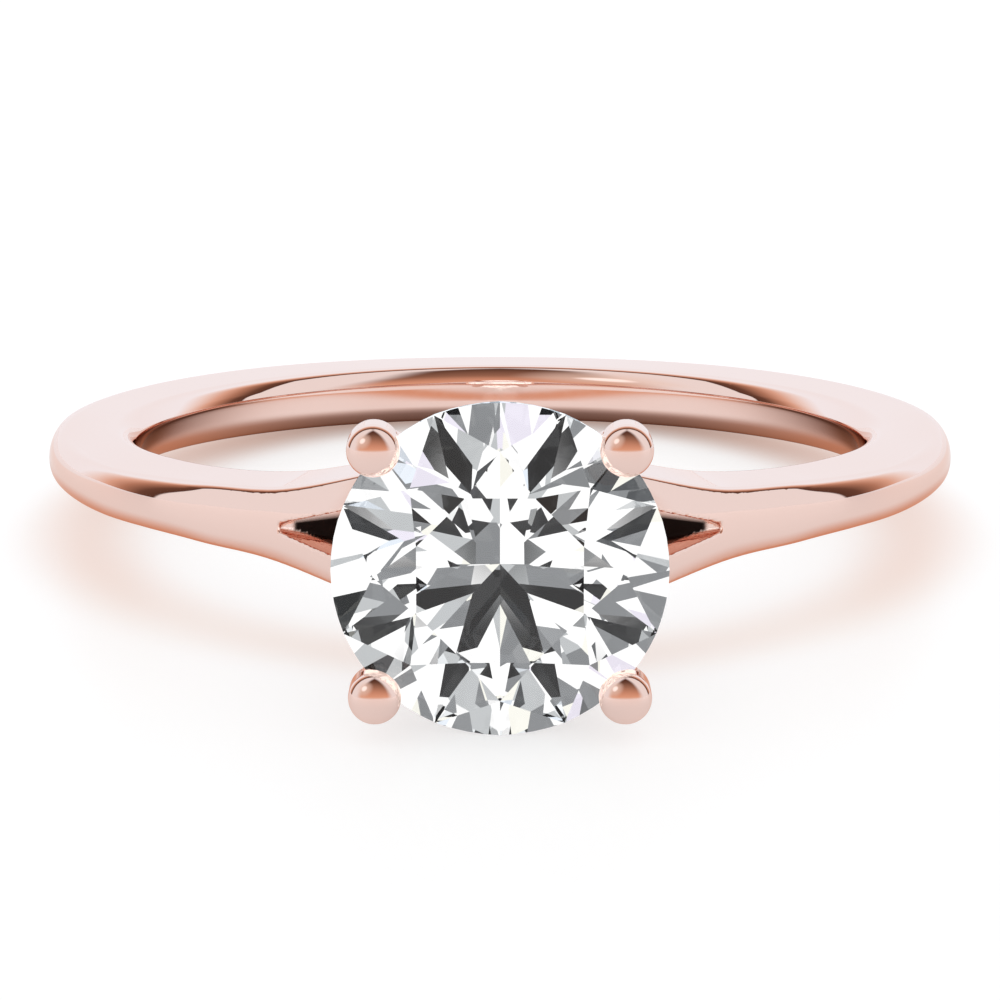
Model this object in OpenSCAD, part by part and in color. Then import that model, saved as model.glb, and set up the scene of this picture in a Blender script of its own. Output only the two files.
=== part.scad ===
// Solitaire engagement ring: a split-shank band with four prongs, and a round brilliant stone.
//
// Every piece is drawn in the ring's own frame: the finger hole runs along Z with its middle at
// the origin, and the stone faces -Y. lying_down() then tips the ring by a few degrees, so that
// it rests on Z = 0 as a real one lies on a table: on the stone's girdle and the back of the band.

/* [Finger hole] */
// Diameter of the finger hole
finger_d = 16.5; // [16:0.1:17]

/* [Shank] */
// Thickness of the shank, from the finger outwards
shank_t = 1.97; // [1.85:0.01:2.05]
// Width of the shank along the finger, at the back
shank_w = 1.44; // [1.3:0.02:1.5]
// How far the finger side rounds off towards its edges, at the back
comfort_depth = 0.25; // [0.2:0.01:0.3]
// How far the straight part of the finger hole is ground into that rounding
comfort_land = 0.05; // [0.04:0.01:0.06]
// How much of that rounding's oval is used before the faces of the shank cut it off
comfort_cut = 0.8; // [0.7:0.05:0.9]

/* [Split] */
// Distance from the middle of the head to the point where each side splits
split_x = 4.52; // [4.4:0.01:4.8]
// Half height of the opening at its blunt ends
split_end_h = 0.08; // [0.04:0.01:0.12]
// Half height of the opening between the branches, under the stone
split_h = 0.86; // [0.8:0.01:0.95]
// Distance from the middle of the head to where the opening stops widening quickly
split_knee_x = 2.2; // [2:0.1:2.4]
// Half height of the opening there
split_knee_h = 0.8; // [0.7:0.01:0.8]
// Half length of the opening where it meets the finger hole
split_inner_x = 2.3; // [2.3:0.1:2.9]

/* [Stone] */
// Diameter of the stone
stone_d = 6.5; // [6.3:0.05:6.6]
// Distance from the middle of the finger hole to the girdle
girdle_y = 13.7; // [13.6:0.05:13.8]
// Table width between opposite flats
table_w = 3.17; // [3:0.01:3.4]
// Slope of the kite facets on the crown
crown_angle = 33; // [32:0.5:35]
// Slope of the main facets on the pavilion
pavilion_angle = 40.9; // [40.5:0.1:41.5]
// Thickness of the girdle where it is thickest
girdle_t = 0.2; // [0.18:0.01:0.24]
// Length of the lower girdle facets, as a share of the way to the point
lower_share = 0.77; // [0.74:0.01:0.8]

/* [Prongs] */
// Distance from the stone's axis to the middle of each tip
prong_reach = 3.4; // [3.36:0.01:3.42]
// How far a tip runs straight ahead of the girdle before its dome
tip_ahead = 0.56; // [0.5:0.01:0.6]
// Radius of the tip
tip_r = 0.51; // [0.48:0.01:0.54]
// Height of the dome on the tip
tip_dome = 0.33; // [0.3:0.01:0.4]
// Radius of the prong where it leaves the shank
root_r = 0.42; // [0.38:0.01:0.45]
// Radius of the prong's leaning part where it meets the tip
shaft_r = 0.46; // [0.42:0.01:0.47]
// Distance from the stone's axis to the root of each prong
root_reach = 1.66; // [1.6:0.01:1.75]
// Distance from the middle of the finger hole to the root of each prong
root_y = 10.1; // [9.9:0.05:10.3]
// Clearance between the stone and its seat in the prongs
seat_gap = 0.03; // [0.02:0.01:0.04]

/* [Hidden] */

rose_gold = [0.86, 0.62, 0.52];
clear_stone = [0.9, 0.93, 0.96, 0.6];

finger_r = finger_d / 2;
shank_r = finger_r + shank_t;
stone_r = stone_d / 2;

// Sections of the shank, a row for each, by angle from the middle of the head.
// Half width is that of the finger side, and the outer face is narrower by drop on each side.
// Lift is how far the outer face stands out from the round of the shank. That face is an oval,
// edge depth deep, and edge cut is how much of the oval's half width there is before it is cut
// off. Comfort depth is how far the finger side rounds off towards its edges.
ANGLE = 0;
HALF_WIDTH = 1;
DROP = 2;
LIFT = 3;
EDGE_DEPTH = 4;
EDGE_CUT = 5;
COMFORT_DEPTH = 6;
SECTIONS = [
    [0, 1.60, 0, 0.75, 0.16, 0.80, 0.25],
    [13, 1.34, 0.02, 0.70, 0.16, 0.80, 0.25],
    [18, 1.15, 0.06, 0.56, 0.16, 0.80, 0.25],
    [22, 1.00, 0.09, 0.39, 0.16, 0.80, 0.25],
    [25, 0.91, 0.11, 0.27, 0.16, 0.80, 0.25],
    [28, 0.83, 0.10, 0.14, 0.15, 0.80, 0.25],
    [31, 0.78, 0.09, 0.05, 0.15, 0.79, 0.26],
    [36, 0.725, 0.07, -0.02, 0.145, 0.80, 0.28],
    [42, 0.69, 0.08, -0.03, 0.22, 0.93, 0.30],
    [55, 0.665, 0.10, 0, 0.31, 1, 0.34],
    [75, 0.64, 0.08, 0.01, 0.50, 1, 0.42],
    [100, 0.66, -0.03, 0.06, 0.45, 1, 0.42],
    [140, 0.70, -0.04, 0.03, 0.30, 1, 0.30],
    [180, shank_w / 2, 0, 0, 0.27, 1, comfort_depth],
];
edge_power = 2.2;
head_angle = 36;
head_step = 2;
back_step = 4.5;
outer_steps = 18;
inner_steps = 8;

// Monotone cubic interpolation between the rows of SECTIONS
function rise(i, col) =
    (SECTIONS[i + 1][col] - SECTIONS[i][col]) / (SECTIONS[i + 1][ANGLE] - SECTIONS[i][ANGLE]);
function slope_at(i, col) =
    i == 0 || i == len(SECTIONS) - 1 ? 0
    : let (before = rise(i - 1, col), after = rise(i, col))
      before * after <= 0 ? 0 : 2 * before * after / (before + after);
function row_below(angle, i = 0) =
    i + 2 >= len(SECTIONS) || SECTIONS[i + 1][ANGLE] > angle ? i : row_below(angle, i + 1);
function section_value(angle, col) =
    let (
        i = row_below(angle),
        span = SECTIONS[i + 1][ANGLE] - SECTIONS[i][ANGLE],
        u = (angle - SECTIONS[i][ANGLE]) / span
    )
    (2 * u ^ 3 - 3 * u ^ 2 + 1) * SECTIONS[i][col]
    + (u ^ 3 - 2 * u ^ 2 + u) * span * slope_at(i, col)
    + (3 * u ^ 2 - 2 * u ^ 3) * SECTIONS[i + 1][col]
    + (u ^ 3 - u ^ 2) * span * slope_at(i + 1, col);

// One section of the shank as [radius, height] points: down the outer face, up the finger side
function signed_power(value, power) = sign(value) * pow(abs(value), power);
function cut_turn(cut, power) = asin(pow(cut, power / 2));
function outer_point(angle, share) =
    let (
        cut = section_value(angle, EDGE_CUT),
        last = cut_turn(cut, edge_power),
        turn = last * share,
        power = 2 / edge_power,
        half_w = section_value(angle, HALF_WIDTH) - section_value(angle, DROP),
        bend = (1 - pow(abs(cos(turn)), power)) / (1 - pow(abs(cos(last)), power))
    )
    [shank_r + section_value(angle, LIFT) - section_value(angle, EDGE_DEPTH) * bend,
     half_w * signed_power(sin(turn), power) / cut];
function inner_point(angle, share) =
    let (
        last = cut_turn(comfort_cut, 2),
        turn = last * share,
        bend = (1 - cos(turn)) / (1 - cos(last))
    )
    [finger_r - comfort_land + section_value(angle, COMFORT_DEPTH) * bend,
     section_value(angle, HALF_WIDTH) * sin(turn) / comfort_cut];
function section_points(angle) = concat(
    [for (i = [0 : outer_steps]) outer_point(angle, 1 - 2 * i / outer_steps)],
    [for (i = [0 : inner_steps]) inner_point(angle, 2 * i / inner_steps - 1)]
);

// Angles of all sections, once round the finger
station_angles = concat(
    [for (a = [-head_angle : head_step : head_angle]) a],
    [for (a = [head_angle + back_step : back_step : 360 - head_angle - back_step / 2]) a]
);
function round_the_finger(angle, point) =
    [point[0] * sin(angle), -point[0] * cos(angle), point[1]];
function folded(angle) = angle > 180 ? 360 - angle : abs(angle);

module shank_body() {
    stations = len(station_angles);
    corners = len(section_points(0));
    points = [
        for (a = station_angles, p = section_points(folded(a))) round_the_finger(a, p)
    ];
    faces = [
        for (s = [0 : stations - 1], c = [0 : corners - 1])
            let (
                next_s = (s + 1) % stations,
                next_c = (c + 1) % corners,
                here = s * corners + c,
                along = next_s * corners + c,
                beside = s * corners + next_c,
                across = next_s * corners + next_c
            )
            each [[here, along, across], [here, across, beside]]
    ];
    polyhedron(points = points, faces = faces);
}

// The opening between the branches: an eye seen from the front, with ends that ramp inwards
module split_opening() {
    split_angle = asin(split_x / shank_r);
    face_r = shank_r + section_value(split_angle, LIFT);
    ramp_top = [split_x, sqrt(face_r ^ 2 - split_x ^ 2)];
    ramp_foot = [split_inner_x, sqrt(finger_r ^ 2 - split_inner_x ^ 2)];
    below_foot = ramp_foot - (ramp_top - ramp_foot) / 2;
    front_x = split_x + 1;
    front_y = shank_r + 2;
    eye = [
        [split_x, split_end_h], [split_knee_x, split_knee_h], [0, split_h],
        [-split_knee_x, split_knee_h], [-split_x, split_end_h],
        [-split_x, -split_end_h], [-split_knee_x, -split_knee_h], [0, -split_h],
        [split_knee_x, -split_knee_h], [split_x, -split_end_h]
    ];
    intersection() {
        rotate([90, 0, 0])
            linear_extrude(height = front_y)
                polygon(eye);
        linear_extrude(height = 2 * split_h + 1, center = true)
            polygon([
                [-front_x, -front_y], [front_x, -front_y], [ramp_top[0], -ramp_top[1]],
                [below_foot[0], -below_foot[1]], [-below_foot[0], -below_foot[1]],
                [-ramp_top[0], -ramp_top[1]]
            ]);
    }
}

// Quarters of an oval as [radius, height] points: above the rim, and below it
dome_steps = 7;
function dome_turn(i) = 90 * i / dome_steps;
function above_rim(radius, height, start) =
    [for (i = [0 : dome_steps]) [radius * cos(dome_turn(i)), start + height * sin(dome_turn(i))]];
function below_rim(radius) =
    [for (i = [dome_steps : -1 : 0]) [radius * cos(dome_turn(i)), -radius * sin(dome_turn(i))]];

// The leaning part of a prong along Z, rounded at its root
module prong_shaft(length) {
    rotate_extrude($fn = 32)
        polygon(concat(below_rim(root_r), [[shaft_r, length], [0, length]]));
}

// The straight end of a prong along Z, round below and with a shallow dome above
module prong_tip() {
    rotate_extrude($fn = 32)
        polygon(concat(below_rim(tip_r), above_rim(tip_r, tip_dome, tip_ahead)));
}

module prong(side_x, side_z) {
    root = [side_x * root_reach / sqrt(2), -root_y, side_z * root_reach / sqrt(2)];
    bend = [side_x * prong_reach / sqrt(2), -girdle_y, side_z * prong_reach / sqrt(2)];
    lean = bend - root;
    translate(root)
        rotate([0, acos(lean[2] / norm(lean)), atan2(lean[1], lean[0])])
            prong_shaft(norm(lean));
    translate(bend)
        rotate([90, 0, 0])
            prong_tip();
}

module finger_hole() {
    cylinder(r = finger_r, h = 10, center = true, $fn = 180);
}

// Heights on the stone, above and below the middle of the girdle
girdle_top = girdle_t / 2;
crown_slope = tan(crown_angle);
pavilion_slope = tan(pavilion_angle);
table_corner_r = table_w / 2 / cos(22.5);
table_z = girdle_top + (stone_r - table_corner_r) * crown_slope;
star_r = (table_w / 2 + stone_r) / 2;
star_z = girdle_top + (stone_r - star_r * cos(22.5)) * crown_slope;
break_r = stone_r * (1 - lower_share);
break_z = -girdle_top - (stone_r - break_r * cos(22.5)) * pavilion_slope;
culet_z = -girdle_top - stone_r * pavilion_slope;

// Facets are laid out by azimuth in steps of 22.5 degrees: stars on the even steps, kites on the odd
rim_per_step = 4;
rim_count = 16 * rim_per_step;
function polar(radius, azimuth, z) = [radius * cos(azimuth), radius * sin(azimuth), z];

// Height at which a girdle facet's plane meets the rim. The plane goes through the rim at both
// ends of its step, at edge_z, and through the facet's inner corner on the even end.
function rim_height(inner_r, inner_z, edge_z, off_even) =
    let (
        outwards = (edge_z - inner_z) / (stone_r - inner_r),
        sideways = outwards * (1 - cos(22.5)) / sin(22.5)
    )
    edge_z + stone_r * (outwards * (cos(off_even) - 1) + sideways * sin(off_even));
function rim_azimuth(i) = i * 360 / rim_count;
function off_even_step(azimuth) =
    let (within = azimuth - 45 * floor(azimuth / 45))
    within > 22.5 ? 45 - within : within;
function rim_top(i) = rim_height(star_r, star_z, girdle_top, off_even_step(rim_azimuth(i)));
function rim_bottom(i) = rim_height(break_r, break_z, -girdle_top, off_even_step(rim_azimuth(i)));

module stone_shape() {
    table = [for (k = [0 : 7]) polar(table_corner_r, 22.5 + 45 * k, table_z)];
    stars = [for (k = [0 : 7]) polar(star_r, 45 * k, star_z)];
    rim_above = [for (i = [0 : rim_count - 1]) polar(stone_r, rim_azimuth(i), rim_top(i))];
    rim_below = [for (i = [0 : rim_count - 1]) polar(stone_r, rim_azimuth(i), rim_bottom(i))];
    breaks = [for (k = [0 : 7]) polar(break_r, 45 * k, break_z)];
    culet = [[0, 0, culet_z]];
    points = concat(table, stars, rim_above, rim_below, breaks, culet);
    star_0 = 8;
    above_0 = 16;
    below_0 = above_0 + rim_count;
    break_0 = below_0 + rim_count;
    culet_i = break_0 + 8;
    half = rim_per_step;
    function above(i) = above_0 + (i + rim_count) % rim_count;
    function below(i) = below_0 + (i + rim_count) % rim_count;
    faces = concat(
        [[for (k = [7 : -1 : 0]) k]],
        [for (k = [0 : 7]) [(k + 7) % 8, k, star_0 + k]],
        [for (k = [0 : 7])
            [k, star_0 + (k + 1) % 8, above((2 * k + 1) * half), star_0 + k]],
        [for (k = [0 : 7])
            [star_0 + k, each [for (j = [half : -1 : 0]) above(2 * k * half + j)]]],
        [for (k = [0 : 7])
            [star_0 + k, each [for (j = [0 : -1 : -half]) above(2 * k * half + j)]]],
        [for (i = [0 : rim_count - 1]) [above(i), above(i + 1), below(i + 1), below(i)]],
        [for (k = [0 : 7])
            [break_0 + k, each [for (j = [0 : half]) below(2 * k * half + j)]]],
        [for (k = [0 : 7])
            [break_0 + k, each [for (j = [-half : 0]) below(2 * k * half + j)]]],
        [for (k = [0 : 7])
            [culet_i, break_0 + k, below((2 * k + 1) * half), break_0 + (k + 1) % 8]]
    );
    polyhedron(points = points, faces = faces);
}

// Turns a shape drawn with the table up +Z so that the table faces -Y, at the girdle's place
module at_the_head() {
    translate([0, -girdle_y, 0])
        rotate([90, 0, 0])
            children();
}

// The room that the stone takes in the prongs
module stone_seat() {
    crown_run = (star_z - girdle_top) / (stone_r - star_r);
    pavilion_run = (-break_z - girdle_top) / (stone_r - break_r);
    seat_r = stone_r + seat_gap;
    seat_z = girdle_top + seat_gap;
    rotate_extrude($fn = 96)
        polygon([
            [0, -seat_z - seat_r * pavilion_run], [seat_r, -seat_z], [seat_r, seat_z],
            [star_r, seat_z + (seat_r - star_r) * crown_run], [0, table_z + seat_gap]
        ]);
}

// How the ring lies: the tilt of the floor's plane against the ring's own, and the lift to Z = 0
last_row = SECTIONS[len(SECTIONS) - 1];
rim_inset = last_row[EDGE_DEPTH];
rim_half_w = last_row[HALF_WIDTH] - last_row[DROP];
contact_y = girdle_y - girdle_top;
floor_run = contact_y + shank_r - rim_inset;
first_tangent = (stone_r - rim_half_w) / floor_run;
lie_angle = atan((stone_r - norm([rim_inset * first_tangent, rim_half_w])) / floor_run);
lie_lift = stone_r * cos(lie_angle) - contact_y * sin(lie_angle);
front_reach = (girdle_y + table_z) * cos(lie_angle) + table_w / 2 * sin(lie_angle);
back_reach = (shank_r - rim_inset) * cos(lie_angle)
    + norm([rim_inset * cos(lie_angle), rim_half_w * sin(lie_angle)]);

module lying_down() {
    translate([0, (front_reach - back_reach) / 2, lie_lift])
        rotate([-lie_angle, 0, 0])
            children();
}

module band_and_prongs() {
    color(rose_gold)
        lying_down()
            difference() {
                union() {
                    difference() {
                        shank_body();
                        split_opening();
                        finger_hole();
                    }
                    for (side_x = [-1, 1], side_z = [-1, 1]) prong(side_x, side_z);
                }
                at_the_head() stone_seat();
            }
}

module round_stone() {
    color(clear_stone)
        lying_down()
            at_the_head() stone_shape();
}

band_and_prongs();
round_stone();
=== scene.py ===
import math

import bpy
import numpy as np
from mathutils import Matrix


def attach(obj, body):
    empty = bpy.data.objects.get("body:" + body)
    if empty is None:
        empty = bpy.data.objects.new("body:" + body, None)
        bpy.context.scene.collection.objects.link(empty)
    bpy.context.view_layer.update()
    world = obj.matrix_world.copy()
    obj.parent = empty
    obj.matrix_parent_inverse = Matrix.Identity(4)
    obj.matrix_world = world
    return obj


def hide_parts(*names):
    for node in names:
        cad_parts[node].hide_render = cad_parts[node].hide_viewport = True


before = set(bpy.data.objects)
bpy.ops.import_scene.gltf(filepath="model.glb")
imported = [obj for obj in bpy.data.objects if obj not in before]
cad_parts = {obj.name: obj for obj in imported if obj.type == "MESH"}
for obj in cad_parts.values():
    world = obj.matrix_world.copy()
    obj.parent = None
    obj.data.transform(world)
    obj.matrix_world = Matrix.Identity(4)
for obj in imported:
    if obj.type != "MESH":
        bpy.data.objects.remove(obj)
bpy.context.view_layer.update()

# The ring's own frame has the finger hole along Z and the stone towards -Y, in millimetres.
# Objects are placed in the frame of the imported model, in which the ring lies on its side.
MM = 0.001
LIE_ANGLE = math.radians(6.1304202026)
LIE_SHIFT = np.array([0.0, 2.354378219, 1.779043534])

# Sizes of the band, as in the solid model
FINGER_R = 8.25
SHANK_R = 10.22
COMFORT_LAND = 0.05
COMFORT_CUT = 0.8
EDGE_POWER = 2.2
CUT_MOST = 0.9999

# Sections of the shank by angle from the middle of the head, with the solid model's columns
ANGLE, HALF_WIDTH, DROP, LIFT, EDGE_DEPTH, EDGE_CUT, COMFORT_DEPTH = range(7)
SECTIONS = np.array([
    [0, 1.60, 0, 0.75, 0.16, 0.80, 0.25],
    [13, 1.34, 0.02, 0.70, 0.16, 0.80, 0.25],
    [18, 1.15, 0.06, 0.56, 0.16, 0.80, 0.25],
    [22, 1.00, 0.09, 0.39, 0.16, 0.80, 0.25],
    [25, 0.91, 0.11, 0.27, 0.16, 0.80, 0.25],
    [28, 0.83, 0.10, 0.14, 0.15, 0.80, 0.25],
    [31, 0.78, 0.09, 0.05, 0.15, 0.79, 0.26],
    [36, 0.725, 0.07, -0.02, 0.145, 0.80, 0.28],
    [42, 0.69, 0.08, -0.03, 0.22, 0.93, 0.30],
    [55, 0.665, 0.10, 0, 0.31, 1, 0.34],
    [75, 0.64, 0.08, 0.01, 0.50, 1, 0.42],
    [100, 0.66, -0.03, 0.06, 0.45, 1, 0.42],
    [140, 0.70, -0.04, 0.03, 0.30, 1, 0.30],
    [180, 0.72, 0, 0, 0.27, 1, 0.25],
])

# The sections are evened out in steps of ROW_STEP degrees over a reach of ROW_REACH
ROW_STEP = 0.5
ROW_REACH = 1.6

# The opening between the branches: half heights by distance from the middle of the head
SPLIT_X = 4.52
EYE_X = [0, 2.2, SPLIT_X]
EYE_H = [0.86, 0.8, 0.08]
SPLIT_INNER_X = 2.3

# The stone
STONE_R = 3.25
GIRDLE_Y = 13.7
GIRDLE_TOP = 0.1
TABLE_W = 3.17
CROWN_ANGLE = math.radians(33)
PAVILION_ANGLE = math.radians(40.9)
LOWER_SHARE = 0.77
SEAT_GAP = 0.03

# The prongs
PRONG_REACH = 3.4
TIP_AHEAD = 0.56
TIP_R = 0.51
TIP_DOME = 0.33
TIP_POWER = 2.0
SHAFT_R = 0.46
ROOT_R = 0.42
ROOT_REACH = 1.66
ROOT_Y = 10.1

# Radii of the small roundings that polishing and soldering leave
LIP_ROUND = 0.05
EDGE_ROUND = 0.10
COMFORT_ROUND = 0.04
END_ROUND = 0.05
RAMP_ROUND = 0.1
TIP_ROUND = 0.05
SOLDER_ROUND = 0.22
SEAT_ROUND = 0.03

# The grid that the skin is laid over. The head has about as many angles as the rest of the ring.
HEAD_ANGLE = 34
GRID_ANGLES = 245
GRID_RADIUS = np.arange(8.13, 14.95, 0.062)
GRID_HEIGHT = np.linspace(-3.05, 3.05, 99)
GRID_SLABS = 16

# Settling the skin on the surface: the step for the field's slope and the furthest move
SLOPE_STEP = 0.004
SLOPE_LEAST = 1e-3
SETTLE_MOST = 0.05
RELAX_SHARE = 0.5

# Where painted shade darkens the metal in the opening: deeper than these depths at its walls and
# on its ramps, which meet within RAMP_EDGE, further out than RECESS_X and lower than RECESS_TOP
WALL_RECESS = 0.85
RAMP_RECESS = 0.35
RAMP_EDGE = 0.08
RECESS_FADE = 0.1
RECESS_X = 2.3
RECESS_TOP = 0.14
OPENING_MARGIN = 0.06


def turned(vectors):
    """Directions of the ring's own frame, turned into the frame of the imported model."""
    x, y, z = np.asarray(vectors, dtype=float).T
    c, s = math.cos(LIE_ANGLE), math.sin(LIE_ANGLE)
    return np.stack([x, y * c + z * s, z * c - y * s], axis=1)


def to_row(points):
    """Points of the ring's own frame, in millimetres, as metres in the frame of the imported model."""
    return (turned(points) + LIE_SHIFT) * MM


# The metal as a field of distances, less than zero inside

def cubic(rows, slope, i, angle, start, end):
    """A cubic curve from rows[i] at start to rows[i + 1] at end, with the slopes given there."""
    span = (end - start)[..., None]
    u = (angle - start)[..., None] / span
    return (
        (2 * u ** 3 - 3 * u ** 2 + 1) * rows[i]
        + (u ** 3 - 2 * u ** 2 + u) * span * slope[i]
        + (3 * u ** 2 - 2 * u ** 3) * rows[i + 1]
        + (u ** 3 - u ** 2) * span * slope[i + 1]
    )


def between_rows(angle):
    """Monotone cubic interpolation between the rows of SECTIONS, with a last axis of columns."""
    knots = SECTIONS[:, ANGLE]
    rise = np.diff(SECTIONS, axis=0) / np.diff(knots)[:, None]
    slope = np.zeros_like(SECTIONS)
    before, after = rise[:-1], rise[1:]
    rising = before * after > 0
    slope[1:-1][rising] = (2 * before * after)[rising] / (before + after)[rising]
    i = np.clip(np.searchsorted(knots, angle, side="right") - 1, 0, len(knots) - 2)
    return cubic(SECTIONS, slope, i, angle, knots[i], knots[i + 1])


def polished_rows():
    """The sections of half the ring in small steps, evened out as a polisher would."""
    angle = np.arange(-180, 360 + ROW_STEP / 2, ROW_STEP)
    rows = between_rows(np.abs((angle + 180) % 360 - 180))
    offset = np.arange(-3 * ROW_REACH, 3 * ROW_REACH + ROW_STEP / 2, ROW_STEP)
    weight = np.exp(-0.5 * (offset / ROW_REACH) ** 2)
    weight /= weight.sum()
    even = [np.convolve(rows[:, c], weight, mode="same") for c in range(rows.shape[1])]
    keep = (angle >= -ROW_STEP) & (angle <= 180 + 1.5 * ROW_STEP)
    return angle[keep], np.stack(even, axis=1)[keep]


ROW_ANGLES, ROWS = polished_rows()
ROW_SLOPES = np.gradient(ROWS, ROW_STEP, axis=0)


def section_values(angle):
    """The section's columns at any angle from the middle of the head."""
    angle = np.asarray(angle, dtype=float)
    i = np.clip(((angle - ROW_ANGLES[0]) / ROW_STEP).astype(int), 0, len(ROWS) - 2)
    return cubic(ROWS, ROW_SLOPES, i, angle, ROW_ANGLES[i], ROW_ANGLES[i] + ROW_STEP)


def angle_from_head(x, y):
    """Degrees from the middle of the head, the same to the left and to the right."""
    return np.degrees(np.abs(np.arctan2(x, -y)))


def soft_max(a, b, radius):
    """The larger of two distances, rounded over where they meet."""
    overlap = np.maximum(radius - np.abs(a - b), 0)
    return np.maximum(a, b) + overlap ** 2 / (4 * radius)


def soft_min(a, b, radius):
    """The smaller of two distances, with a fillet where they meet."""
    return -soft_max(-a, -b, radius)


def superellipse(u, v, u_size, v_size, power):
    """Distance to a superellipse of half sizes u_size and v_size, from u and v in those sizes."""
    u = np.maximum(u, 1e-6)
    g = (u ** power + v ** power) ** (1 / power)
    steepness = np.hypot((u / g) ** (power - 1) / u_size, (v / g) ** (power - 1) / v_size)
    return (g - 1) / steepness


def comfort_field(r, z, half, depth):
    """The finger side, an oval that the two faces of the shank cut off before its ends."""
    share = np.minimum(np.abs(z) / half, 1)
    bend = np.sqrt(1 - (COMFORT_CUT * share) ** 2)
    full = 1 - math.sqrt(1 - COMFORT_CUT ** 2)
    reach = FINGER_R - COMFORT_LAND + depth * (1 - bend) / full
    steepness = depth * COMFORT_CUT ** 2 * share / (bend * full * half)
    return (reach - r) / np.hypot(1, steepness)


def band_field(columns, r, z):
    """The shank without its opening, from its section's columns, the radius and the height."""
    half_width, drop, lift, depth, cut, comfort = (columns[..., c] for c in range(1, 7))
    top = SHANK_R + lift
    share = np.clip((top - depth - r) / (top - depth - FINGER_R - comfort), 0, 1)
    half = half_width - drop * (1 - share)
    cut = np.minimum(cut, CUT_MOST)
    full_depth = depth / (1 - (1 - cut ** EDGE_POWER) ** (1 / EDGE_POWER))
    v = np.maximum(r - top + full_depth, 0) / full_depth
    face = superellipse(np.abs(z) * cut / half, v, half / cut, full_depth, EDGE_POWER)
    outer = soft_max(face, np.abs(z) - half, EDGE_ROUND)
    inner = soft_max(comfort_field(r, z, half_width, comfort), FINGER_R - r, COMFORT_ROUND)
    return soft_max(outer, inner, EDGE_ROUND)


def ramp_line():
    """Two points of the slope at each end of the opening, as x and distance towards the head."""
    columns = section_values(np.array(math.degrees(math.asin(SPLIT_X / SHANK_R))))
    face_r = SHANK_R + columns[LIFT]
    top = np.array([SPLIT_X, math.sqrt(face_r ** 2 - SPLIT_X ** 2)])
    foot = np.array([SPLIT_INNER_X, math.sqrt(FINGER_R ** 2 - SPLIT_INNER_X ** 2)])
    return top, foot


RAMP_TOP, RAMP_FOOT = ramp_line()


def opening_field(x, y, z):
    """The opening between the branches, an eye seen from the front with ends that ramp inwards."""
    x = np.abs(x)
    height = np.interp(x, EYE_X, EYE_H)
    flare = math.hypot(1, (EYE_H[1] - EYE_H[2]) / (EYE_X[2] - EYE_X[1]))
    wall = (np.abs(z) - height) / flare
    along = (RAMP_TOP - RAMP_FOOT) / np.linalg.norm(RAMP_TOP - RAMP_FOOT)
    ramp = (x - RAMP_FOOT[0]) * along[1] - (-y - RAMP_FOOT[1]) * along[0]
    return soft_max(soft_max(wall, x - SPLIT_X, END_ROUND), ramp, RAMP_ROUND)


def prong_field(x, y, z):
    """All four prongs, which mirror each other: a leaning shaft, then a tip straight ahead."""
    root = np.array([ROOT_REACH / math.sqrt(2), -ROOT_Y, ROOT_REACH / math.sqrt(2)])
    bend = np.array([PRONG_REACH / math.sqrt(2), -GIRDLE_Y, PRONG_REACH / math.sqrt(2)])
    length = np.linalg.norm(bend - root)
    axis = (bend - root) / length
    dx, dy, dz = np.abs(x) - root[0], y - root[1], np.abs(z) - root[2]
    along = dx * axis[0] + dy * axis[1] + dz * axis[2]
    beside = dx ** 2 + dy ** 2 + dz ** 2 - along ** 2
    share = np.clip(along / length, 0, 1)
    past = along - share * length
    shaft = np.sqrt(np.maximum(beside, 0) + past ** 2) - (ROOT_R + (SHAFT_R - ROOT_R) * share)
    across = np.hypot(np.abs(x) - bend[0], np.abs(z) - bend[2])
    ahead = -y - GIRDLE_Y
    past_end = np.where(ahead < 0, -ahead / TIP_R, np.maximum(ahead - TIP_AHEAD, 0) / TIP_DOME)
    end_size = np.where(ahead < 0, TIP_R, TIP_DOME)
    tip = superellipse(across / TIP_R, past_end, TIP_R, end_size, TIP_POWER)
    return soft_min(shaft, tip, TIP_ROUND)


def facet_slope(break_r, facet_angle):
    """How steeply a ring of facets rises from the girdle to the corners at radius break_r."""
    facet_middle = math.cos(math.radians(22.5))
    return (STONE_R - break_r * facet_middle) * math.tan(facet_angle) / (STONE_R - break_r)


def seat_field(x, y, z):
    """The room that the stone takes in the prongs."""
    crown_slope = facet_slope((TABLE_W / 2 + STONE_R) / 2, CROWN_ANGLE)
    pavilion_slope = facet_slope(STONE_R * (1 - LOWER_SHARE), PAVILION_ANGLE)
    across = np.hypot(x, z)
    ahead = -y - GIRDLE_Y
    seat_r = STONE_R + SEAT_GAP
    seat_z = GIRDLE_TOP + SEAT_GAP
    crown = (ahead - seat_z - (seat_r - across) * crown_slope) / math.hypot(1, crown_slope)
    pavilion = (-ahead - seat_z - (seat_r - across) * pavilion_slope) / math.hypot(1, pavilion_slope)
    return np.maximum(np.maximum(crown, pavilion), across - seat_r)


def metal_field(columns, x, y, z):
    """The whole metal: the band with its opening and the prongs with their notches."""
    r = np.hypot(x, y)
    branches = soft_max(band_field(columns, r, z), -opening_field(x, y, z), LIP_ROUND)
    whole = soft_min(branches, prong_field(x, y, z), SOLDER_ROUND)
    return soft_max(whole, -seat_field(x, y, z), SEAT_ROUND)


def metal_at(points):
    """The metal's field at each point."""
    x, y, z = points.T
    return metal_field(section_values(angle_from_head(x, y)), x, y, z)


def slope_of(points):
    """How the metal's field rises along x, y and z."""
    rises = []
    for axis in range(3):
        shift = np.zeros(3)
        shift[axis] = SLOPE_STEP
        rises.append((metal_at(points + shift) - metal_at(points - shift)) / (2 * SLOPE_STEP))
    return np.stack(rises, axis=1)


# A skin over the field: one point in each grid cell that the surface crosses

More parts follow.
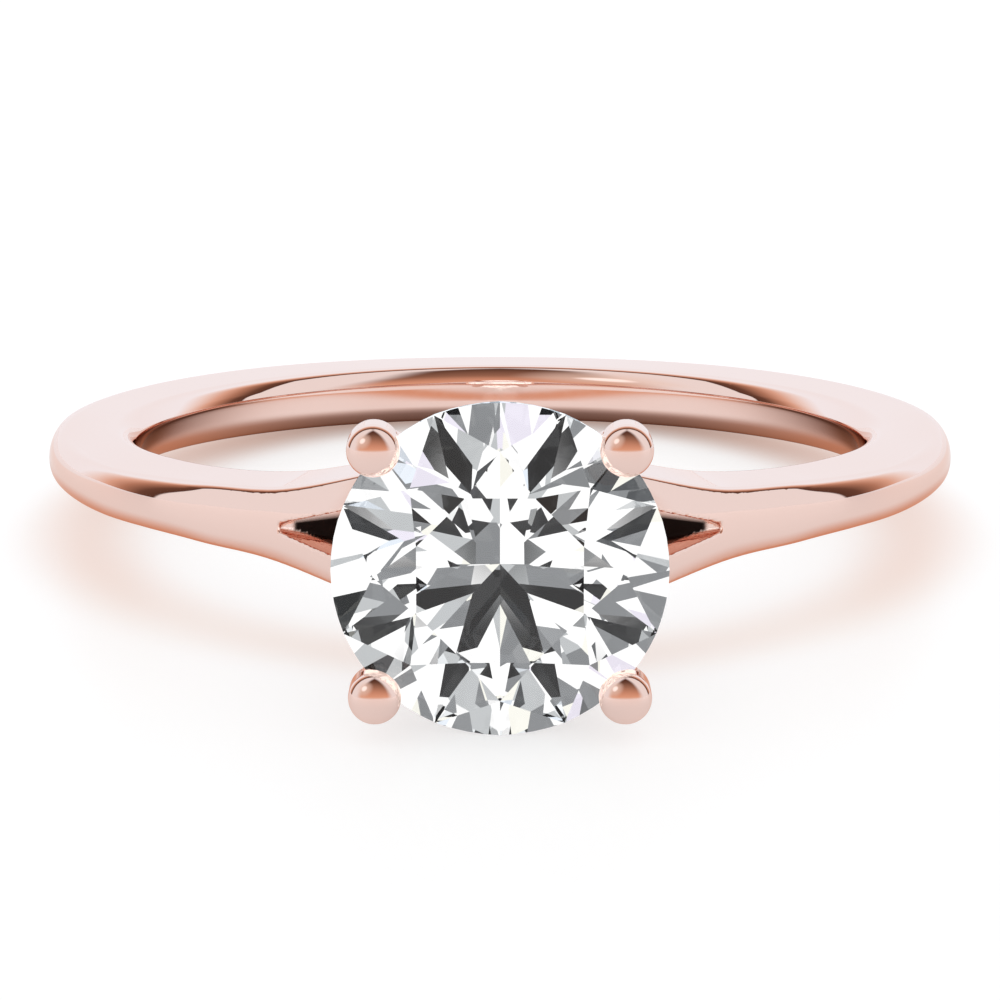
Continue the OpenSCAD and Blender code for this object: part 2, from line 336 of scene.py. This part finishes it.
CORNERS = [(i, j, k) for i in (0, 1) for j in (0, 1) for k in (0, 1)]
QUAD_CORNERS = [(0, 0), (1, 0), (1, 1), (0, 1)]


def grid_angles():
    """The grid's angles, closer together at the head."""
    head = np.linspace(-HEAD_ANGLE, HEAD_ANGLE, GRID_ANGLES)
    rest = np.linspace(HEAD_ANGLE, 360 - HEAD_ANGLE, GRID_ANGLES)[1:-1]
    return np.concatenate([head, rest])


def field_on_grid(angle):
    """The metal's field by angle, radius and height, a few angles at a time to save memory."""
    slabs = []
    for some in np.array_split(angle, GRID_SLABS):
        turn = np.radians(some)[:, None, None]
        columns = section_values(angle_from_head(np.sin(turn), -np.cos(turn)))
        x = GRID_RADIUS[None, :, None] * np.sin(turn)
        y = -GRID_RADIUS[None, :, None] * np.cos(turn)
        slabs.append(metal_field(columns, x, y, GRID_HEIGHT[None, None, :]))
    return np.concatenate(slabs)


def crossed_cells(inside):
    """A number for each cell that the surface crosses and -1 for the others."""
    def corner(i, j, k):
        rolled = np.roll(inside, -i, axis=0)
        return rolled[:, j:inside.shape[1] - 1 + j, k:inside.shape[2] - 1 + k]

    count = sum(corner(*c).astype(np.int8) for c in CORNERS)
    crossed = (count > 0) & (count < len(CORNERS))
    number = np.full(crossed.shape, -1, dtype=np.int64)
    number[crossed] = np.arange(crossed.sum())
    return number


def cell_points(angle, field, number):
    """For each crossed cell, the middle of the places where the surface cuts the cell's edges."""
    a, b, c = np.nonzero(number >= 0)
    turn = np.radians(angle)

    def node(i, j, k):
        at = (a + i) % len(angle)
        r = GRID_RADIUS[b + j]
        place = np.stack([r * np.sin(turn[at]), -r * np.cos(turn[at]), GRID_HEIGHT[c + k]], axis=1)
        return place, field[at, b + j, c + k]

    nodes = {corner: node(*corner) for corner in CORNERS}
    total = np.zeros((len(a), 3))
    hits = np.zeros(len(a))
    for low in CORNERS:
        for axis in [n for n in range(3) if low[n] == 0]:
            high = tuple(v + (n == axis) for n, v in enumerate(low))
            (p, f), (q, g) = nodes[low], nodes[high]
            cut = (f < 0) != (g < 0)
            share = np.where(cut, f / np.where(cut, f - g, 1), 0)[:, None]
            total += np.where(cut[:, None], p + (q - p) * share, 0)
            hits += cut
    return total / hits[:, None]


def cell_quads(inside, number):
    """A quad round each piece of grid line that the surface cuts, facing out of the metal.

    The grid closes round the finger, because an index of -1 is the last cell.
    """
    quads = []
    for axis, across in enumerate([[1, 2], [0, 2], [0, 1]]):
        at = np.array(np.nonzero(inside != np.roll(inside, -1, axis=axis)))
        leaving = inside[tuple(at)]
        cells = []
        for steps in QUAD_CORNERS:
            back = np.zeros((3, 1), dtype=int)
            back[across, 0] = steps
            cells.append(number[tuple(at - back)])
        quad = np.stack(cells, axis=1)
        flip = ~leaving if axis == 1 else leaving
        quad[flip] = quad[flip][:, ::-1]
        quads.append(quad)
    return np.concatenate(quads)


def settle(points, rounds):
    """Moves points onto the surface itself, along the field's slope."""
    for _ in range(rounds):
        slope = slope_of(points)
        reach = metal_at(points) / np.maximum((slope ** 2).sum(axis=1), SLOPE_LEAST)
        points = points - slope * np.clip(reach, -SETTLE_MOST, SETTLE_MOST)[:, None]
    return points


def relax(points, quads, share):
    """Moves each point a share of the way to the middle of its neighbours."""
    total = np.zeros_like(points)
    hits = np.zeros(len(points))
    for one in range(4):
        start, end = quads[:, one], quads[:, (one + 1) % 4]
        for here, there in ((start, end), (end, start)):
            for axis in range(3):
                total[:, axis] += np.bincount(here, points[there, axis], len(points))
            hits += np.bincount(here, minlength=len(points))
    return points + (total / hits[:, None] - points) * share


def metal_skin():
    """The metal's surface as points and the quads between them."""
    angle = grid_angles()
    field = field_on_grid(angle)
    inside = field < 0
    number = crossed_cells(inside)
    points = cell_points(angle, field, number)
    quads = cell_quads(inside, number)
    points = settle(points, 2)
    points = settle(relax(points, quads, RELAX_SHARE), 3)
    return points, quads


def painted_recess_shade_at(points):
    """1 where painted shade darkens the metal deep in the opening, and 0 elsewhere."""
    x, y, z = points.T
    lift = section_values(angle_from_head(x, y))[:, LIFT]
    depth = SHANK_R + lift - np.hypot(x, y)
    from_wall = np.interp(np.abs(x), EYE_X, EYE_H) - np.abs(z)
    on_ramp = np.clip(from_wall / RAMP_EDGE, 0, 1)
    start = WALL_RECESS + (RAMP_RECESS - WALL_RECESS) * on_ramp
    share = np.clip((depth - start) / RECESS_FADE, 0, 1)
    share *= np.clip((np.abs(x) - RECESS_X) / RECESS_FADE, 0, 1)
    share *= np.clip((RECESS_TOP - z) / RECESS_FADE, 0, 1)
    return np.where(opening_field(x, y, z) < OPENING_MARGIN, share, 0)


def mesh_object(name, points, faces):
    mesh = bpy.data.meshes.new(name)
    mesh.from_pydata([tuple(p) for p in points], [], [tuple(f) for f in faces])
    mesh.validate()
    mesh.update()
    made = bpy.data.objects.new(name, mesh)
    bpy.context.scene.collection.objects.link(made)
    return made


def make_metal():
    """The band and prongs as one smooth piece, with the field's slope as its normals."""
    points, quads = metal_skin()
    slope = slope_of(points)
    normals = slope / np.linalg.norm(slope, axis=1)[:, None]
    made = mesh_object("gold_ring", to_row(points), quads)
    made.data.polygons.foreach_set("use_smooth", [True] * len(made.data.polygons))
    made.data.normals_split_custom_set_from_vertices([tuple(n) for n in turned(normals)])
    painted_recess_shade = made.data.attributes.new("painted_recess_shade", "FLOAT", "POINT")
    # The share of painted shade deep in the opening, kept on each point
    painted_recess_shade.data.foreach_set("value", painted_recess_shade_at(points))
    made.data.materials.append(gold_material())
    made.visible_transmission = False
    return made


# Materials

def grey(value):
    return (value, value, value)


WHITE = grey(1.0)
BLACK = grey(0.0)


class Nodes:
    """Short ways to add nodes to a tree. A value is a number, a colour or another node's output."""

    def __init__(self, tree):
        self.tree = tree

    def new(self, kind):
        return self.tree.nodes.new(kind)

    def put(self, value, socket):
        if isinstance(value, bpy.types.NodeSocket):
            self.tree.links.new(value, socket)
        elif value is not None:
            socket.default_value = value

    def math(self, kind, a, b=None):
        made = self.new("ShaderNodeMath")
        made.operation = kind
        self.put(a, made.inputs[0])
        self.put(b, made.inputs[1])
        return made.outputs[0]

    def vector_math(self, kind, vector, constant):
        made = self.new("ShaderNodeVectorMath")
        made.operation = kind
        self.put(vector, made.inputs[0])
        made.inputs[1].default_value = constant
        return made.outputs["Value" if kind == "DOT_PRODUCT" else "Vector"]

    def split(self, vector):
        made = self.new("ShaderNodeSeparateXYZ")
        self.put(vector, made.inputs[0])
        return made.outputs

    def place(self, kind):
        return self.new("ShaderNodeTexCoord").outputs[kind]

    def ray(self, kind):
        """1 for rays of this kind and 0 for the others."""
        return self.new("ShaderNodeLightPath").outputs[kind]

    def noise(self, scale, detail):
        made = self.new("ShaderNodeTexNoise")
        made.inputs["Scale"].default_value = scale
        made.inputs["Detail"].default_value = detail
        self.put(self.place("Object"), made.inputs["Vector"])
        return made.outputs["Fac"]

    def spread(self, value, low, high):
        """The value, from 0 to 1, spread between low and high."""
        made = self.new("ShaderNodeMapRange")
        made.inputs["To Min"].default_value = low
        made.inputs["To Max"].default_value = high
        self.put(value, made.inputs["Value"])
        return made.outputs["Result"]

    def step(self, value, edge, softness):
        """0 below the edge and 1 above it, over a width of softness."""
        if isinstance(edge, bpy.types.NodeSocket):
            value, edge = self.math("SUBTRACT", value, edge), 0
        made = self.new("ShaderNodeMapRange")
        made.interpolation_type = "SMOOTHSTEP"
        self.put(value, made.inputs["Value"])
        made.inputs["From Min"].default_value = edge - softness / 2
        made.inputs["From Max"].default_value = edge + softness / 2
        return made.outputs["Result"]

    def ramp(self, value, stops, constant=False):
        """The colours of the stops, pairs of a place from 0 to 1 and a colour."""
        made = self.new("ShaderNodeValToRGB")
        if constant:
            made.color_ramp.interpolation = "CONSTANT"
        points = made.color_ramp.elements
        while len(points) < len(stops):
            points.new(0.5)
        for point, (place, colour) in zip(points, stops):
            point.position = place
            point.color = (*colour, 1)
        self.put(value, made.inputs[0])
        return made.outputs[0]

    def mix(self, share, a, b):
        """a where the share is 0 and b where it is 1."""
        made = self.new("ShaderNodeMix")
        made.data_type = "RGBA"
        self.put(share, made.inputs["Factor"])
        for value, name in ((a, "A"), (b, "B")):
            self.put((*value, 1) if isinstance(value, tuple) else value, made.inputs[name])
        return made.outputs["Result"]


def new_material(name, uniform):
    """A material with one shader. Values that are uniform are set on the shader's own sockets."""
    made = bpy.data.materials.new(name)
    made.use_nodes = True
    n = Nodes(made.node_tree)
    n.tree.nodes.clear()
    shader = n.new("ShaderNodeBsdfPrincipled")
    n.put(shader.outputs[0], n.new("ShaderNodeOutputMaterial").inputs[0])
    for socket, value in uniform.items():
        shader.inputs[socket].default_value = value
    return made, shader, n


# Rose gold: its colour, its tint at grazing angles and the painted shade that darkens it deep in the
# opening.
# The polish varies a little over cells of 0.2 mm.
GOLD = (0.86, 0.655, 0.585)
GOLD_EDGE = (0.94, 0.83, 0.78)
GOLD_PAINTED_RECESS_SHADE = (0.012, 0.008, 0.007)
POLISH_SCALE = 5000
POLISH_DETAIL = 4
POLISH_ROUGHNESS = (0.015, 0.05)
RECESS_ROUGHNESS = 0.35


def gold_material():
    made, shader, n = new_material("polished_rose_gold", {
        "Metallic": 1, "Specular Tint": (*GOLD_EDGE, 1),
    })
    painted_recess_shade = n.new("ShaderNodeAttribute")
    painted_recess_shade.attribute_name = "painted_recess_shade"
    # Painted shade: the metal deep in the opening is darkened for camera rays only
    depth = n.math("MULTIPLY", painted_recess_shade.outputs["Fac"], n.ray("Is Camera Ray"))
    n.put(n.mix(depth, GOLD, GOLD_PAINTED_RECESS_SHADE), shader.inputs["Base Color"])
    polish = n.spread(n.noise(POLISH_SCALE, POLISH_DETAIL), *POLISH_ROUGHNESS)
    rough = n.math("ADD", polish, n.math("MULTIPLY", depth, RECESS_ROUGHNESS))
    n.put(rough, shader.inputs["Roughness"])
    return made


# The stone bends light as a diamond does. Its outside reflects less than a diamond's, and the
# metal shows it as a painted glow, which stands for all the light that its facets send back.
STONE_IOR = 2.417
STONE_REFLECTS = (0.14, 0.145, 0.15)
STONE_GLOW = (1, 0.98, 0.96)
STONE_GLOW_STRENGTH = 0.55


def stone_material():
    made, shader, n = new_material("brilliant_stone", {
        "Base Color": (*WHITE, 1), "Transmission Weight": 1, "IOR": STONE_IOR, "Roughness": 0,
        "Specular Tint": (*STONE_REFLECTS, 1), "Emission Color": (*STONE_GLOW, 1),
    })
    outside = n.math("SUBTRACT", 1, n.new("ShaderNodeNewGeometry").outputs["Backfacing"])
    in_metal = n.math("MULTIPLY", n.ray("Is Glossy Ray"), outside)
    # Painted glow on the stone's outside, which only the metal's reflections show
    n.put(n.math("MULTIPLY", in_metal, STONE_GLOW_STRENGTH), shader.inputs["Emission Strength"])
    return made


# The floor: what the camera sees is white with a warm shade under the band, partly real and partly
# painted, and the metal shows a floor with a painted shade, darker under the ring. Distances are in
# millimetres from the finger hole's axis.
# Each edge is a distance and the width over which the colour changes.
FLOOR_SIZE = 3.0
RING_Y = float(LIE_SHIFT[1])
BAND_MIDDLE_R = 9.2
SHADE_MIDDLE_R = 9.6
FLOOR_NEAR = (0.91, 0.89, 0.90)
FLOOR_FAR = (0.91, 1.0, 1.09)
FAR_EDGE = (16, 8)
UNDER_FRONT_SHADE = (0.76, 0.40, 0.26)
UNDER_BACK_SHADE = (0.12, 0.055, 0.035)
BACK_EDGE = (5.5, 6.0)
UNDER_EDGE = (2.6, 4.2)
SHADE_EDGE = (1.0, 2.0)
SHADE = [
    (0.12, (0.95, 0.88, 0.84)), (0.32, (0.94, 0.83, 0.78)), (0.65, (0.92, 0.78, 0.72)),
    (0.86, (0.76, 0.53, 0.44)), (0.96, (0.58, 0.38, 0.31)),
]
FLOOR_GLOW = 0.66
FLOOR_DIFFUSE = 0.35
FLOOR_ROUGHNESS = 0.4
FLOOR_SPECULAR = 0.05


def around(n, from_axis, middle_r, edge):
    """1 on a circle round the finger hole's axis and 0 away from it."""
    away = n.math("ABSOLUTE", n.math("SUBTRACT", from_axis, middle_r))
    return n.math("SUBTRACT", 1, n.step(away, *edge))


def floor_in_metal(n, from_axis, y):
    """What polished metal shows of the floor, with a painted shade that is darker under the ring."""
    beyond = n.mix(n.step(y, *FAR_EDGE), FLOOR_NEAR, FLOOR_FAR)
    under = n.mix(n.step(y, *BACK_EDGE), UNDER_FRONT_SHADE, UNDER_BACK_SHADE)
    return n.mix(around(n, from_axis, BAND_MIDDLE_R, UNDER_EDGE), beyond, under)


def floor_seen(n, from_axis, y):
    """White with a painted shade under the band that is darkest at the back."""
    along = n.math("MULTIPLY", n.math("ADD", y, SHADE_MIDDLE_R), 0.5 / SHADE_MIDDLE_R)
    below = around(n, from_axis, SHADE_MIDDLE_R, SHADE_EDGE)
    return n.mix(below, WHITE, n.ramp(along, SHADE))


def floor_material():
    made, shader, n = new_material("pale_floor", {
        "Emission Strength": FLOOR_GLOW, "Roughness": FLOOR_ROUGHNESS,
        "Specular IOR Level": FLOOR_SPECULAR,
    })
    split = n.split(n.place("Object"))
    x = n.math("DIVIDE", split[0], MM)
    y = n.math("SUBTRACT", n.math("DIVIDE", split[1], MM), RING_Y)
    squares = n.math("ADD", n.math("MULTIPLY", x, x), n.math("MULTIPLY", y, y))
    from_axis = n.math("POWER", squares, 0.5)
    seen, in_metal = floor_seen(n, from_axis, y), floor_in_metal(n, from_axis, y)
    # The floor's colour holds painted shade: one for the camera and one for the metal's reflections
    colour = n.mix(n.ray("Is Glossy Ray"), seen, in_metal)
    n.put(n.mix(1 - FLOOR_DIFFUSE, colour, BLACK), shader.inputs["Base Color"])
    n.put(colour, shader.inputs["Emission Color"])
    return made


def make_floor():
    s = FLOOR_SIZE
    floor = mesh_object("floor", [(-s, -s, 0), (s, -s, 0), (s, s, 0), (-s, s, 0)], [(0, 1, 2, 3)])
    floor.data.materials.append(floor_material())
    floor.visible_transmission = False


# The studio as the metal shows it, by direction. Over the ring stands a dark arch from left to
# right, crisp in front and fading towards the white wall at the back. The front is a white wall
# with a brown tent and a small lamp. TENT and TENT_HALF_WIDTH go by the share of the way from the
# front over the top to the back, ARCH by y and BELOW by -z.
TENT = [
    (0.0, (0.94, 0.86, 0.84)), (0.035, (0.84, 0.48, 0.33)), (0.10, (0.70, 0.37, 0.25)),
    (0.22, (0.38, 0.20, 0.135)), (0.33, (0.16, 0.08, 0.055)), (0.4, (0.11, 0.045, 0.03)),
]
TENT_HALF_WIDTH = [
    (0.0, grey(0.78)), (0.1, grey(0.76)), (0.2, grey(0.67)), (0.27, grey(0.56)),
    (0.34, grey(0.40)), (0.42, grey(0.16)), (0.46, grey(0.0)),
]
TENT_SOFTNESS = 0.32
FRONT_WALL = (0.97, 0.985, 1.02)
TO_LAMP = (-0.54, -0.655, 0.528)
LAMP = grey(1.3)
LAMP_EDGE = (math.cos(math.radians(9)), 0.02)
LAMP_GLOW = (0.95, 0.82, 0.74)
GLOW_EDGE = (math.cos(math.radians(22)), 0.16)
GLOW_SHARE = 0.7
ARCH = [
    (0.07, (0.10, 0.045, 0.03)), (0.17, (0.16, 0.075, 0.05)), (0.30, (0.50, 0.26, 0.175)),
    (0.42, (0.82, 0.52, 0.40)), (0.55, (0.98, 0.90, 0.88)), (0.68, (1.05, 1.22, 1.37)),
]
ARCH_EDGE = (0.07, 0.02)
BELOW = [
    (0.0, WHITE), (0.5, (0.97, 0.90, 0.86)), (0.8, (0.88, 0.68, 0.58)), (1.0, (0.75, 0.42, 0.30)),
]
BELOW_BACK = (0.95, 0.82, 0.76)
BELOW_EDGE = (0.3, 0.6)
HORIZON_EDGE = (0.0, 0.01)


def front_wall(n, direction, side, over):
    """The white wall in front, with its tent and lamp."""
    half_width = n.ramp(over, TENT_HALF_WIDTH)
    wall = n.mix(n.step(side, half_width, TENT_SOFTNESS), n.ramp(over, TENT), FRONT_WALL)
    to_lamp = n.vector_math("DOT_PRODUCT", direction, TO_LAMP)
    glow = n.math("MULTIPLY", n.step(to_lamp, *GLOW_EDGE), GLOW_SHARE)
    return n.mix(n.step(to_lamp, *LAMP_EDGE), n.mix(glow, wall, LAMP_GLOW), LAMP)


def metal_surroundings(n, direction):
    x, y, z = n.split(direction)
    side = n.math("ABSOLUTE", x)
    over = n.math("DIVIDE", n.math("ARCTAN2", z, n.math("MULTIPLY", y, -1)), math.pi)
    front = front_wall(n, direction, side, over)
    above = n.mix(n.step(y, *ARCH_EDGE), front, n.ramp(y, ARCH))
    below = n.mix(n.step(y, *BELOW_EDGE), n.ramp(n.math("MULTIPLY", z, -1), BELOW), BELOW_BACK)
    return n.mix(n.step(z, *HORIZON_EDGE), below, above)


# The studio as the stone shows it: panels of different greys, with a few faint tints, and the
# dark camera in front. PANEL_PLACE is the place in the cell pattern that gives the best match.
PANEL_SCALE = 2.4
PANEL_PLACE = (4.7, 3.9, -2.0)
PANELS = [
    (0.0, (0.01, 0.012, 0.012)), (0.10, (0.09, 0.095, 0.10)), (0.20, (0.26, 0.27, 0.28)),
    (0.30, (0.55, 0.57, 0.58)), (0.40, (0.85, 0.88, 0.90)), (0.50, grey(1.1)),
    (0.80, (0.84, 0.91, 1.0)), (0.84, grey(1.1)), (0.92, (0.88, 0.84, 0.95)),
    (0.95, (1.0, 0.99, 0.91)),
]
TO_VIEWER = (0, -0.958, 0.286)
VIEWER = grey(0.03)
VIEWER_EDGE = (math.cos(math.radians(14)), 0.01)


def stone_surroundings(n, direction):
    cells = n.new("ShaderNodeTexVoronoi")
    cells.inputs["Scale"].default_value = PANEL_SCALE
    cells.inputs["Randomness"].default_value = 1.0
    n.put(n.vector_math("ADD", direction, PANEL_PLACE), cells.inputs["Vector"])
    pick = n.new("ShaderNodeSeparateColor")
    n.put(cells.outputs["Color"], pick.inputs[0])
    panels = n.ramp(pick.outputs[0], PANELS, constant=True)
    viewer = n.step(n.vector_math("DOT_PRODUCT", direction, TO_VIEWER), *VIEWER_EDGE)
    return n.mix(viewer, panels, VIEWER)


def make_world():
    """The stone and the metal each show their own surroundings, and other light is white."""
    world = bpy.data.worlds.new("studio")
    bpy.context.scene.world = world
    world.use_nodes = True
    n = Nodes(world.node_tree)
    n.tree.nodes.clear()
    direction = n.place("Generated")
    metal_sees, stone_sees = metal_surroundings(n, direction), stone_surroundings(n, direction)
    seen = n.mix(n.ray("Is Transmission Ray"), metal_sees, stone_sees)
    seen = n.mix(n.ray("Is Diffuse Ray"), seen, WHITE)
    background = n.new("ShaderNodeBackground")
    n.put(seen, background.inputs["Color"])
    n.put(background.outputs[0], n.new("ShaderNodeOutputWorld").inputs[0])


# Camera, fitted to the outline in the photograph. It stands CAMERA_DISTANCE millimetres from the
# middle of the finger hole, and its angles, in radians, are measured in the ring's own frame.
CAMERA_DISTANCE = 82.9886
CAMERA_RISE = 0.169
CAMERA_PITCH = 0.183
CAMERA_LENS = 130.443
SENSOR = 36
CLIP_START, CLIP_END = 0.001, 20


def make_camera():
    data = bpy.data.cameras.new("camera")
    data.sensor_width = SENSOR
    data.lens = CAMERA_LENS
    data.clip_start, data.clip_end = CLIP_START, CLIP_END
    camera = bpy.data.objects.new("camera", data)
    bpy.context.scene.collection.objects.link(camera)
    away = [0, -CAMERA_DISTANCE * math.cos(CAMERA_RISE), CAMERA_DISTANCE * math.sin(CAMERA_RISE)]
    camera.location = to_row([away])[0]
    camera.rotation_euler = (math.pi / 2 - CAMERA_PITCH - LIE_ANGLE, 0, 0)
    bpy.context.scene.camera = camera


make_camera()
make_world()
make_floor()

metal = make_metal()
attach(metal, "root")
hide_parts("band_and_prongs")

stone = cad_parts["round_stone"]
for slot in stone.material_slots:
    slot.material = stone_material()

scene = bpy.context.scene
scene.view_settings.view_transform = "Standard"
scene.cycles.max_bounces = 24
scene.cycles.transmission_bounces = 24
scene.cycles.glossy_bounces = 8
